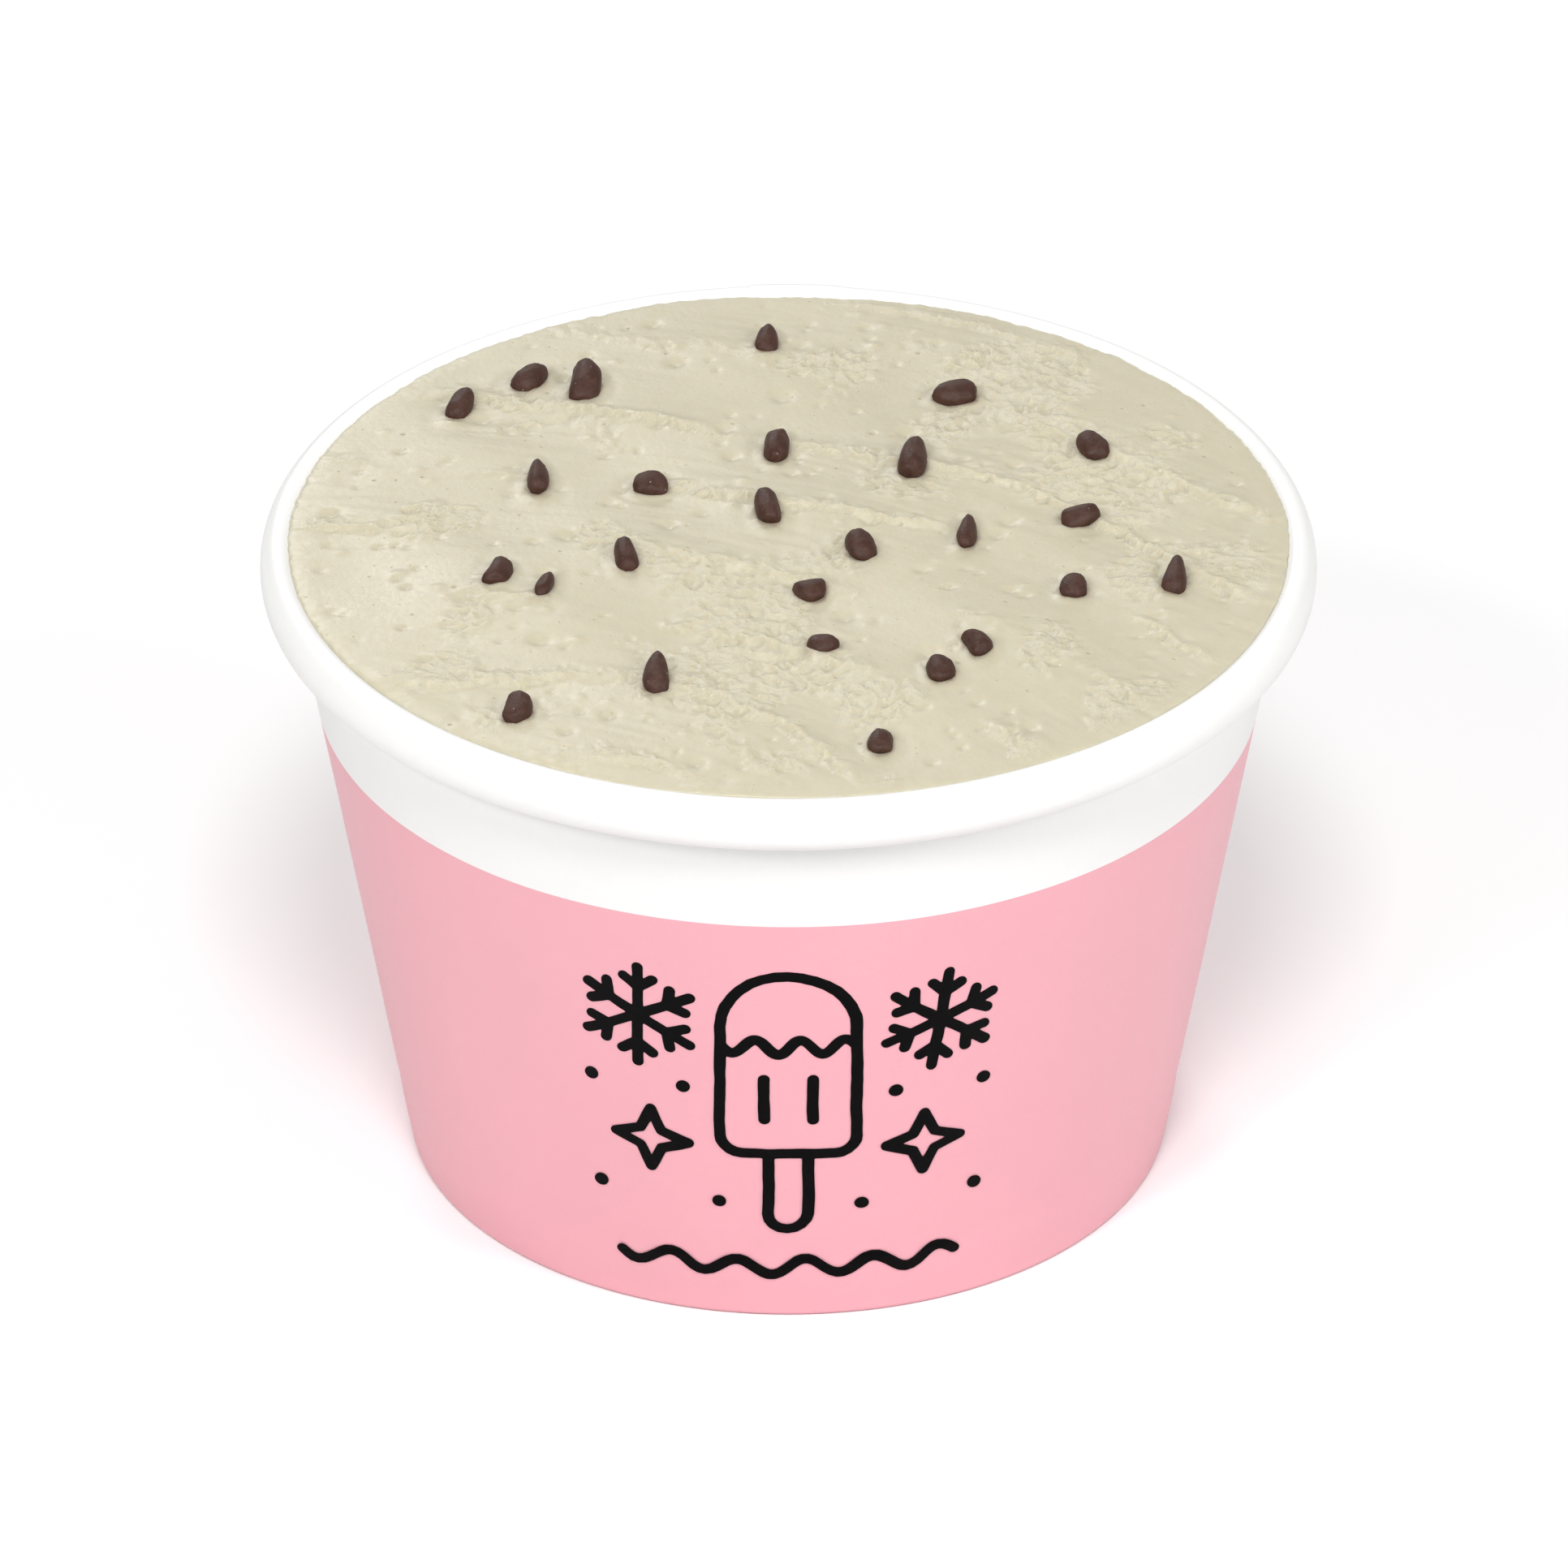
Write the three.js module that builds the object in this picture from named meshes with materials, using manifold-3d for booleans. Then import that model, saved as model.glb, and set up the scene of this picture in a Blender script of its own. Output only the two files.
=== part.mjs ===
// A small paper cup of ice cream, filled level with its rim and dotted with chocolate chunks.
// Units are millimetres, +Z is up, and the origin is the middle of the circle that the cup stands on.
// The printed front of the cup faces -Y, and the glued lap of the paper is at the back, at +Y.
//
// The cup is made as a real one is: one sheet is wrapped into a cone, curled outwards into the rim
// and folded in under the bottom, where it grips the flange of a separate bottom disc.

import * as THREE from "three";
import { mergeVertices } from "three/addons/utils/BufferGeometryUtils.js";
import Module from "manifold-3d";

// Driving dimensions
const RIM_RADIUS = 48; // outside of the curled rim
const CUP_HEIGHT = 61.6; // table to the crest of the rim
const BASE_RADIUS = 35; // outside of the wall where it stands
const CURL_WIDTH = 3.2; // the rim's curl, across
const CURL_TALL = 5; // and up and down
const CURL_END = -130; // how far round the curl goes from the top of the wall, which is at 180
const PAPER = 0.45; // thickness of the coated paper
const GAP = 0.3; // between the paper and what it holds

// The fold under the cup, and the bottom disc
const FOLD_HEIGHT = 5; // top of the paper that is folded in
const DISC_HEIGHT = 7.2; // middle of the bottom disc, which stands clear of the table
const DISC_FLANGE_FOOT = 1.7; // lower end of the disc's flange
const DISC_BEND = 0.7; // radius of the bend between disc and flange
const FOLD_BEND = 0.4; // radius of the fold's two bends, with the flat that the cup stands on between
const CHANNEL = 2 * GAP + 2 * PAPER; // middle of the wall to middle of the fold

// The glued lap at the back, as angles from its middle, in degrees
const LAP_STEP = 0.4; // height of the step
const LAP_EDGE = -4.5; // where the outer edge of the sheet shows
const LAP_EDGE_WIDTH = 0.5;
const LAP_FADE_START = 4.5;
const LAP_FADE_END = 7;
const LAP_CLEARANCE = 0.4; // between the top of the step and the curl
const LAP_TOP = CUP_HEIGHT - CURL_TALL - LAP_CLEARANCE;
const LAP_FOOT = 0.9;

// The ice cream
const SHOULDER_END = 130; // how far it reaches up the inner side of the curl, in degrees
const SHOULDER_STEPS = 3;
const LIP_THICKNESS = 0.15;
const CROWN = 0.6; // how much higher it stands in the middle than at its lip
// The slow waves of its top: their pace along x and along y, where they start, and their height.
const WAVES = [
  { x: 0.16, y: 0.09, start: 0.6, height: 0.16 },
  { x: 0.11, y: -0.19, start: 2.1, height: 0.16 },
  { x: 0.31, y: 0.27, start: 0, height: 0.1 },
];
const EDGE_CALM = 6; // the waves die out with this power of the distance from the middle
const TOP_RINGS = [44.8, 42.5, 39, 34.5, 29.5, 24, 18, 12, 6];

const COLUMNS = 64; // even facets round the cup
const CURL_STEPS = 14;
const BEND_STEPS = 3;
const TURN = 360;

// Places worked out from the dimensions
const curlCentre = new THREE.Vector2(RIM_RADIUS - CURL_WIDTH / 2, CUP_HEIGHT - CURL_TALL / 2);
const wallTopRadius = RIM_RADIUS - CURL_WIDTH + PAPER;
const wallSlope = (wallTopRadius - BASE_RADIUS) / curlCentre.y;
const wallRadius = (z) => BASE_RADIUS + wallSlope * z; // outside of the wall
const innerRadius = (z) => wallRadius(z) - PAPER;
// The side of the ice cream where it hugs the curl, and its end, a little below the crest of the rim
const shoulder = arc(curlCentre, CURL_WIDTH / 2 + GAP, CURL_TALL / 2 + GAP, 180, SHOULDER_END, SHOULDER_STEPS);
const lip = shoulder[SHOULDER_STEPS];

// Chocolate chunks. Each kind narrows towards its far end by its taper, and bows sideways by its bend.
const KINDS = {
  pebble: { taper: 0.1, bend: 0 },
  oval: { taper: 0.12, bend: 0 },
  wedge: { taper: 0.3, bend: 0.08 },
  bean: { taper: 0.1, bend: 0.34 },
};
// kind, x, y, length, width, and the turn of its length from +X, in degrees
const CHUNKS = [
  ["wedge", -2, 35.4, 4.7, 2.3, 82],
  ["oval", -23.8, 28.5, 4.3, 2.9, 58],
  ["bean", -18.8, 27.1, 6.2, 3, 82],
  ["wedge", 15.4, 25.8, 4.4, 3.6, 190],
  ["oval", -30.2, 23.8, 4.8, 2.3, 74],
  ["oval", 27.8, 15.6, 4, 2.8, 122],
  ["oval", -1.1, 15.5, 5.2, 2.4, 86],
  ["oval", 11.4, 12.9, 6.6, 2.7, 83],
  ["wedge", -22.9, 10.2, 5.4, 2.1, 90],
  ["pebble", -12.5, 9, 3.5, 3.4, 84],
  ["oval", -1.9, 3.6, 5.1, 2.4, 100],
  ["oval", 26.5, 3.3, 3.8, 3, 14],
  ["wedge", 16.2, 0, 5.4, 1.9, 86],
  ["pebble", 6.5, -3.1, 4.3, 2.8, 106],
  ["oval", -14.7, -4.8, 5, 2.2, 98],
  ["bean", -26.3, -7.6, 4.3, 2.4, 72],
  ["wedge", 34.9, -8, 5.3, 2.3, 83],
  ["oval", -22, -10.1, 4.2, 1.5, 74],
  ["pebble", 25.7, -9.6, 3.5, 2.6, 88],
  ["bean", 2, -10.3, 3.2, 3.2, 20],
  ["bean", 16.9, -20.4, 3.7, 2.6, 116],
  ["oval", 3.1, -20.4, 3.1, 2.8, 0],
  ["pebble", 13.6, -24.6, 3.8, 2.7, 100],
  ["wedge", -11.8, -25.7, 5.6, 2.5, 89],
  ["bean", -24.2, -31.1, 4.3, 2.7, 82],
  ["pebble", 8.2, -36.5, 3.7, 2.4, 84],
];
// Half a chunk's height, and how far its middle stands above the ice cream, as shares of the mean
// of its length and width.
const CHUNK_DEPTH = 0.3;
const CHUNK_RISE = 0.1;
const CHUNK_ROUGHNESS = 0.12;
const CHUNK_LUMPS = new THREE.Vector3(3.1, 4.3, 2.7); // pace of the lumps along each direction
const BOW_LEVEL = 0.4; // keeps the middle of a bowed chunk near its place
const CHUNK_DETAIL = 1;

const wasm = await Module();
wasm.setup();

// Points on an ellipse about a centre, from one angle to another, in degrees.
function arc(centre, semiR, semiZ, from, to, steps) {
  return Array.from({ length: steps + 1 }, (_, i) => {
    const angle = THREE.MathUtils.degToRad(from + ((to - from) * i) / steps);
    return new THREE.Vector2(centre.x + semiR * Math.cos(angle), centre.y + semiZ * Math.sin(angle));
  });
}

// The closed outline of a sheet of even thickness that follows a middle line.
function sheetOutline(line, thickness) {
  const side = (sign) =>
    line.map((point, i) => {
      const before = line[Math.max(i - 1, 0)];
      const after = line[Math.min(i + 1, line.length - 1)];
      const into = point === before ? after.clone().sub(point) : point.clone().sub(before);
      const out = point === after ? into.clone() : after.clone().sub(point);
      const along = into.normalize().add(out.normalize());
      const stretch = 2 / along.length(); // keeps the thickness round a corner
      const across = new THREE.Vector2(-along.y, along.x).normalize();
      return point.clone().addScaledVector(across, (sign * stretch * thickness) / 2);
    });
  return [...side(-1), ...side(1).reverse()];
}

// The angles of the columns of facets, from the front round to the front again. They are even,
// but for four at the edges of the lap, so that its step is a sharp one.
function columnAngles() {
  const even = Array.from({ length: COLUMNS }, (_, i) => TURN / 2 - (i * TURN) / COLUMNS);
  const clearOfLap = even.filter((angle) => Math.abs(angle) !== TURN / COLUMNS);
  const lap = [LAP_EDGE, LAP_EDGE + LAP_EDGE_WIDTH, LAP_FADE_START, LAP_FADE_END];
  return [...clearOfLap, ...lap].sort((one, other) => other - one);
}

// A solid of revolution about Z from an outline of (radius, height).
function turned(outline) {
  const angles = columnAngles();
  const geometry = new THREE.LatheGeometry(outline, angles.length);
  const position = geometry.getAttribute("position");
  for (let i = 0; i < position.count; i++) {
    const column = Math.floor(i / outline.length) % angles.length;
    const radius = Math.hypot(position.getX(i), position.getZ(i));
    const angle = THREE.MathUtils.degToRad(angles[column]);
    // The lathe turns about Y: its Y becomes Z here.
    position.setXYZ(i, radius * Math.sin(angle), radius * Math.cos(angle), position.getY(i));
  }
  return closed(geometry);
}

// Only positions are left, with the vertices that share a place merged.
function closed(geometry) {
  geometry.deleteAttribute("normal");
  geometry.deleteAttribute("uv");
  return mergeVertices(geometry, 1e-4);
}

// One sheet: folded in at the bottom, up the wall, and curled outwards and down into the rim.
function sidewallGeometry() {
  const middle = (z) => wallRadius(z) - PAPER / 2;
  const outerBend = new THREE.Vector2(middle(0) - FOLD_BEND, PAPER / 2 + FOLD_BEND);
  const innerBend = new THREE.Vector2(middle(0) - CHANNEL + FOLD_BEND, outerBend.y);
  const curlAcross = (CURL_WIDTH - PAPER) / 2;
  const curlUp = (CURL_TALL - PAPER) / 2;
  const line = [
    new THREE.Vector2(middle(FOLD_HEIGHT) - CHANNEL, FOLD_HEIGHT),
    ...arc(innerBend, FOLD_BEND, FOLD_BEND, -180, -90, BEND_STEPS),
    ...arc(outerBend, FOLD_BEND, FOLD_BEND, -90, 0, BEND_STEPS),
    new THREE.Vector2(middle(LAP_TOP), LAP_TOP),
    ...arc(curlCentre, curlAcross, curlUp, 180, CURL_END, CURL_STEPS),
  ];
  const outline = sheetOutline(line, PAPER);
  const geometry = turned([...outline, outline[0]]);
  raiseLap(geometry);
  return geometry;
}

// The outer face of the wall stands one sheet higher where the ends of the sheet overlap.
function raiseLap(geometry) {
  const { smoothstep, radToDeg } = THREE.MathUtils;
  const position = geometry.getAttribute("position");
  for (let i = 0; i < position.count; i++) {
    const [x, y, z] = [position.getX(i), position.getY(i), position.getZ(i)];
    const radius = Math.hypot(x, y);
    if (radius < wallRadius(z) - PAPER / 4 || z > LAP_TOP + PAPER / 2) continue;
    const angle = radToDeg(Math.atan2(x, y));
    const across =
      smoothstep(angle, LAP_EDGE, LAP_EDGE + LAP_EDGE_WIDTH) *
      (1 - smoothstep(angle, LAP_FADE_START, LAP_FADE_END));
    const raised = 1 + (LAP_STEP * across * smoothstep(z, 0, LAP_FOOT)) / radius;
    position.setXYZ(i, x * raised, y * raised, z);
  }
}

// A round of paper whose edge is turned down into the fold of the wall.
function bottomDiscGeometry() {
  const flange = (z) => wallRadius(z) - PAPER / 2 - CHANNEL / 2;
  const bendCentre = new THREE.Vector2(flange(DISC_HEIGHT) - DISC_BEND, DISC_HEIGHT - DISC_BEND);
  const line = [
    new THREE.Vector2(flange(DISC_FLANGE_FOOT), DISC_FLANGE_FOOT),
    ...arc(bendCentre, DISC_BEND, DISC_BEND, 0, 90, BEND_STEPS),
    new THREE.Vector2(0, DISC_HEIGHT),
  ];
  const outline = sheetOutline(line, PAPER);
  return turned([...outline.slice(line.length), ...outline.slice(0, line.length)]);
}

// Height of the ice cream's top at a place: a low crown with slow waves, quiet near the rim.
function creamHeight(x, y) {
  const share = Math.min(Math.hypot(x, y) / lip.x, 1);
  const swells = WAVES.map((wave) => wave.height * Math.sin(wave.x * x + wave.y * y + wave.start));
  const waves = swells.reduce((sum, swell) => sum + swell) * (1 - share ** EDGE_CALM);
  return lip.y + LIP_THICKNESS + CROWN * (1 - share ** 2) + waves;
}

// The filling of the cup, which reaches up the inner side of the rim's curl.
function creamCore() {
  const floor = DISC_HEIGHT + PAPER / 2 + GAP;
  const level = lip.y + LIP_THICKNESS;
  const outline = [
    new THREE.Vector2(0, floor),
    new THREE.Vector2(innerRadius(floor) - GAP, floor),
    ...shoulder,
    ...TOP_RINGS.map((radius) => new THREE.Vector2(radius, level)),
    new THREE.Vector2(0, level),
  ];
  const geometry = turned(outline);
  const position = geometry.getAttribute("position");
  for (let i = 0; i < position.count; i++) {
    if (position.getZ(i) < level - LIP_THICKNESS / 2) continue;
    position.setZ(i, creamHeight(position.getX(i), position.getY(i)));
  }
  return geometry;
}

// A lumpy rounded chunk, sunk to about its middle in the ice cream.
function chunkGeometry([kind, x, y, length, width, turn], index) {
  const { taper, bend } = KINDS[kind];
  const mean = (length + width) / 2;
  const halves = new THREE.Vector3(length / 2, width / 2, CHUNK_DEPTH * mean);
  const geometry = closed(new THREE.IcosahedronGeometry(1, CHUNK_DETAIL));
  const position = geometry.getAttribute("position");
  for (let i = 0; i < position.count; i++) {
    const point = new THREE.Vector3().fromBufferAttribute(position, i);
    const lump = 1 + CHUNK_ROUGHNESS * Math.sin(point.dot(CHUNK_LUMPS) + index);
    const along = point.x;
    point.y = point.y * (1 - taper * along) + bend * (along * along - BOW_LEVEL);
    point.multiply(halves).multiplyScalar(lump);
    position.setXYZ(i, point.x, point.y, point.z);
  }
  geometry.rotateZ(THREE.MathUtils.degToRad(turn));
  return geometry.translate(x, y, creamHeight(x, y) + CHUNK_RISE * mean);
}

function solidOf(geometry) {
  const vertProperties = new Float32Array(geometry.getAttribute("position").array);
  const triVerts = new Uint32Array(geometry.index.array);
  return new wasm.Manifold(new wasm.Mesh({ numProp: 3, vertProperties, triVerts }));
}

function geometryOf(solid) {
  const { vertProperties, triVerts } = solid.getMesh();
  const geometry = new THREE.BufferGeometry();
  geometry.setAttribute("position", new THREE.BufferAttribute(vertProperties, 3));
  geometry.setIndex(new THREE.BufferAttribute(triVerts, 1));
  return geometry;
}

function iceCreamGeometry() {
  const pieces = CHUNKS.map((chunk, index) => solidOf(chunkGeometry(chunk, index)));
  return geometryOf(pieces.reduce((whole, piece) => whole.add(piece), solidOf(creamCore())));
}

function piece(name, geometry, color, roughness) {
  geometry.computeVertexNormals();
  const material = new THREE.MeshStandardMaterial({ color, roughness, metalness: 0, flatShading: true });
  const mesh = new THREE.Mesh(geometry, material);
  mesh.name = name;
  return mesh;
}

const cup = new THREE.Group();
cup.add(piece("sidewall", sidewallGeometry(), 0xf7b7c0, 0.45));
cup.add(piece("bottom_disc", bottomDiscGeometry(), 0xf6f5f1, 0.5));

const iceCreamCup = new THREE.Group();
iceCreamCup.add(cup);
iceCreamCup.add(piece("ice_cream", iceCreamGeometry(), 0xdad3bb, 0.6));

export default iceCreamCup;
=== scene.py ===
# A small paper cup of ice cream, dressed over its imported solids.
#
# Shapes are worked out in millimetres and become metres as each mesh is made. The cup's axis is Z,
# the printed front is at -Y and the glued lap of the paper at +Y. Angles round the cup are counted
# in degrees from +Y towards +X, so that the front is at 180.

import math

import bmesh
import bpy
import numpy as np
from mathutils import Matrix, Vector, noise


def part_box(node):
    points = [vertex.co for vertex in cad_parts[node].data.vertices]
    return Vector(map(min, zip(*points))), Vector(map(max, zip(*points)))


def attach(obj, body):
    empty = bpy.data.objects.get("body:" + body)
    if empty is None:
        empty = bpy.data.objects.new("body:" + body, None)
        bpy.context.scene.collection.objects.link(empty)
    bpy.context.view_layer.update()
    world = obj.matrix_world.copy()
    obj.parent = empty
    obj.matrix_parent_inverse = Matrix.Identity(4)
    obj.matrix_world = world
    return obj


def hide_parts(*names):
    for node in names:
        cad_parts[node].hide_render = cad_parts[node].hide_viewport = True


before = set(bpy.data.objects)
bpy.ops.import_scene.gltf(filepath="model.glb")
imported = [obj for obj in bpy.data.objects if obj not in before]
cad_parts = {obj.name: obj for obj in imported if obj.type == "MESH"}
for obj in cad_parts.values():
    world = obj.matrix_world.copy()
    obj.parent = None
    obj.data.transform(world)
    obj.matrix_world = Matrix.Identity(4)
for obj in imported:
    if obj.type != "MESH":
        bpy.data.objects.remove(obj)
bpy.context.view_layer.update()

MM = 0.001
BODY = "root"
RANDOM_SEED = 26

# ---------------------------------------------------------------- sizes, in millimetres

_, wall_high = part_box("sidewall")
RIM_RADIUS = round(wall_high.x / MM, 1)
CUP_HEIGHT = round(wall_high.z / MM, 1)
BASE_RADIUS = 35.0
CURL_WIDTH = 3.2
CURL_TALL = 5.0
CURL_END = -130.0
PAPER = 0.45
GAP = 0.3

FOLD_HEIGHT = 5.0
FOLD_BEND = 0.4
DISC_HEIGHT = 7.2
DISC_FLANGE_FOOT = 1.7
DISC_BEND = 0.7
CHANNEL = 2 * GAP + 2 * PAPER

LAP_STEP = 0.36
LAP_EDGE = -4.5  # where the outer edge of the sheet shows, in degrees
LAP_EDGE_WIDTH = 0.12
LAP_FADE_START = 4.5
LAP_FADE_END = 7.5
LAP_TOP = CUP_HEIGHT - CURL_TALL - 0.6
LAP_FOOT = 0.9

PINK_TOP = 46.4  # the printed field ends here and the white band begins
PINK_TUCK = 1.3  # and it ends this far up inside the fold under the cup

SHOULDER_END = 130.0  # how far the ice cream reaches up the inner side of the curl, in degrees
LIP_THICKNESS = 0.15
CROWN = 0.6
# The slow waves of its top: their pace along x and along y, where they start, and their height.
WAVES = [(0.16, 0.09, 0.6, 0.16), (0.11, -0.19, 2.1, 0.16), (0.31, 0.27, 0.0, 0.1)]
EDGE_CALM = 6  # the waves die out with this power of the distance from the middle

CURL_RADIUS = RIM_RADIUS - CURL_WIDTH / 2  # middle of the curl
CURL_Z = CUP_HEIGHT - CURL_TALL / 2
WALL_SLOPE = (RIM_RADIUS - CURL_WIDTH + PAPER - BASE_RADIUS) / CURL_Z
LIP_RADIUS = CURL_RADIUS + (CURL_WIDTH / 2 + GAP) * math.cos(math.radians(SHOULDER_END))
LIP_Z = CURL_Z + (CURL_TALL / 2 + GAP) * math.sin(math.radians(SHOULDER_END))

# Chocolate chunks. Each kind narrows towards its far end by its taper, and bows sideways by its bend.
CHUNK_KINDS = {
    "pebble": {"taper": 0.1, "bend": 0.0},
    "oval": {"taper": 0.12, "bend": 0.0},
    "wedge": {"taper": 0.3, "bend": 0.08},
    "bean": {"taper": 0.1, "bend": 0.34},
}
# kind, x, y, length, width, and the turn of its length from +X, in degrees
CHUNKS = [
    ("wedge", -2, 35.4, 4.7, 2.3, 82),
    ("oval", -23.8, 28.5, 4.3, 2.9, 58),
    ("bean", -18.8, 27.1, 6.2, 3, 82),
    ("wedge", 15.4, 25.8, 4.4, 3.6, 190),
    ("oval", -30.2, 23.8, 4.8, 2.3, 74),
    ("oval", 27.8, 15.6, 4, 2.8, 122),
    ("oval", -1.1, 15.5, 5.2, 2.4, 86),
    ("oval", 11.4, 12.9, 6.6, 2.7, 83),
    ("wedge", -22.9, 10.2, 5.4, 2.1, 90),
    ("pebble", -12.5, 9, 3.5, 3.4, 84),
    ("oval", -1.9, 3.6, 5.1, 2.4, 100),
    ("oval", 26.5, 3.3, 3.8, 3, 14),
    ("wedge", 16.2, 0, 5.4, 1.9, 86),
    ("pebble", 6.5, -3.1, 4.3, 2.8, 106),
    ("oval", -14.7, -4.8, 5, 2.2, 98),
    ("bean", -26.3, -7.6, 4.3, 2.4, 72),
    ("wedge", 34.9, -8, 5.3, 2.3, 83),
    ("oval", -22, -10.1, 4.2, 1.5, 74),
    ("pebble", 25.7, -9.6, 3.5, 2.6, 88),
    ("bean", 2, -10.3, 3.2, 3.2, 20),
    ("bean", 16.9, -20.4, 3.7, 2.6, 116),
    ("oval", 3.1, -20.4, 3.1, 2.8, 0),
    ("pebble", 13.6, -24.6, 3.8, 2.7, 100),
    ("wedge", -11.8, -25.7, 5.6, 2.5, 89),
    ("bean", -24.2, -31.1, 4.3, 2.7, 82),
    ("pebble", 8.2, -36.5, 3.7, 2.4, 84),
]
# Half a chunk's height, and how far its middle stands above the ice cream, as shares of the mean
# of its length and width.
CHUNK_DEPTH = 0.3
CHUNK_RISE = 0.1
BOW_LEVEL = 0.4  # keeps the middle of a bowed chunk near its place

# ---------------------------------------------------------------- shape helpers


def smoothstep(value, low, high):
    share = np.clip((value - low) / (high - low), 0, 1)
    return share * share * (3 - 2 * share)


def bell(value, middle, width):
    return np.exp(-(((value - middle) / width) ** 2))


def soft_noise(points, size, octaves=1):
    """Noise of about -1 to 1 at points (n, 3), with lumps about size across."""
    scaled = np.asarray(points, float) / size
    values = (noise.fractal(Vector(point), 1.0, 2.0, octaves) for point in scaled)
    return np.fromiter(values, float, len(scaled))


def wall_radius(z):
    return BASE_RADIUS + WALL_SLOPE * z


def arc(middle, semi, start, end, steps):
    """Points on an ellipse in the (radius, z) plane, from one angle to another, in degrees."""
    angles = np.radians(np.linspace(start, end, steps + 1))
    return np.stack([middle[0] + semi[0] * np.cos(angles), middle[1] + semi[1] * np.sin(angles)], 1)


def line(start, end, steps):
    """Points on a straight line, without its first and last."""
    return np.linspace(start, end, steps + 1)[1:-1]


def sheet_outline(middle_line, thickness):
    """The printed side of a sheet that follows a middle line, then its other side backwards."""
    ahead = np.diff(middle_line, axis=0)
    ahead /= np.linalg.norm(ahead, axis=1)[:, None]
    along = np.concatenate([ahead[:1], ahead]) + np.concatenate([ahead, ahead[-1:]])
    length = np.linalg.norm(along, axis=1)[:, None]
    across = np.stack([along[:, 1], -along[:, 0]], 1) * thickness / length**2
    return np.concatenate([middle_line + across, (middle_line - across)[::-1]])


def ring_angles(count):
    """Even angles round the cup, with a few more at the edges of the lap."""
    even = np.arange(count) * 360 / count - 180
    lap = [LAP_EDGE, LAP_EDGE + LAP_EDGE_WIDTH, LAP_EDGE + 3 * LAP_EDGE_WIDTH]
    return np.unique(np.concatenate([even, lap]))


def swept(outline, angles):
    """Places (columns, points, 3) of an outline turned round the cup's axis."""
    turn = np.radians(angles)[:, None]
    radius, z = outline[:, 0][None], outline[:, 1][None]
    return np.stack([radius * np.sin(turn), radius * np.cos(turn), z + 0 * turn], 2)


def swept_faces(columns, points, closed):
    """Quads that face out where the outline goes up on its outer side."""
    spans = points if closed else points - 1
    column, point = np.meshgrid(np.arange(columns), np.arange(spans), indexing="ij")
    beside, above = (column + 1) % columns, (point + 1) % points
    corners = [(column, point), (column, above), (beside, above), (beside, point)]
    return np.stack([c * points + p for c, p in corners], 2).reshape(-1, 4)


def pushed_out(places, amount):
    """Places moved away from the cup's axis by an amount each."""
    radius = np.linalg.norm(places[..., :2], axis=-1)
    moved = places.copy()
    moved[..., :2] *= (1 + amount / np.maximum(radius, 1e-6))[..., None]
    return moved


def add_piece(name, places, faces, materials, face_material=None, sharp=35, merge=0.0):
    """A mesh object from places in millimetres, riding with the cup."""
    mesh = bpy.data.meshes.new(name)
    places = np.asarray(places, float).reshape(-1, 3) * MM
    mesh.from_pydata(places.tolist(), [], [list(face) for face in faces])
    for material in materials:
        mesh.materials.append(material)
    if face_material is not None:
        mesh.polygons.foreach_set("material_index", np.asarray(face_material, np.int32).ravel())
    if merge:
        shape = bmesh.new()
        shape.from_mesh(mesh)
        bmesh.ops.remove_doubles(shape, verts=shape.verts, dist=merge * MM)
        shape.to_mesh(mesh)
        shape.free()
    mesh.shade_smooth()
    mesh.set_sharp_from_angle(angle=math.radians(sharp))
    mesh.update()
    piece = bpy.data.objects.new(name, mesh)
    bpy.context.scene.collection.objects.link(piece)
    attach(piece, BODY)
    return piece


# ---------------------------------------------------------------- material helpers


def put(tree, kind, inputs=None, **settings):
    """Adds a node. Each input is a value, or another node's output to link."""
    made = tree.nodes.new(kind)
    for name, value in settings.items():
        setattr(made, name, value)
    for name, value in (inputs or {}).items():
        if isinstance(value, bpy.types.NodeSocket):
            tree.links.new(value, made.inputs[name])
        else:
            made.inputs[name].default_value = value
    return made


def maths(tree, operation, first, second=0.0, clamp=False):
    inputs = {0: first, 1: second}
    return put(tree, "ShaderNodeMath", inputs, operation=operation, use_clamp=clamp).outputs[0]


def mixed(tree, share, first, second):
    """A mix of two colours."""
    return put(tree, "ShaderNodeMix", {0: share, 6: first, 7: second}, data_type="RGBA").outputs[2]


def ramp(tree, value, low, high):
    """0 below low, 1 above high."""
    inputs = {"Value": value, "From Min": low, "From Max": high}
    return put(tree, "ShaderNodeMapRange", inputs, interpolation_type="SMOOTHSTEP").outputs[0]


def noise_texture(tree, size, **inputs):
    """Noise from 0 to 1 whose size is in millimetres."""
    place = put(tree, "ShaderNodeTexCoord").outputs["Object"]
    scale = maths(tree, "DIVIDE", 1 / MM, size)
    return put(tree, "ShaderNodeTexNoise", {"Vector": place, "Scale": scale, **inputs}).outputs["Fac"]


def new_group(name, inputs, outputs):
    """An empty node group with named sockets; a number's default is a float and a colour's four."""
    group = bpy.data.node_groups.new(name, "ShaderNodeTree")
    for label, default in inputs.items():
        kind = "NodeSocketColor" if isinstance(default, tuple) else "NodeSocketFloat"
        group.interface.new_socket(label, in_out="INPUT", socket_type=kind).default_value = default
    for label, kind in outputs.items():
        group.interface.new_socket(label, in_out="OUTPUT", socket_type=kind)
    return group, group.nodes.new("NodeGroupInput").outputs, group.nodes.new("NodeGroupOutput").inputs


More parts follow.
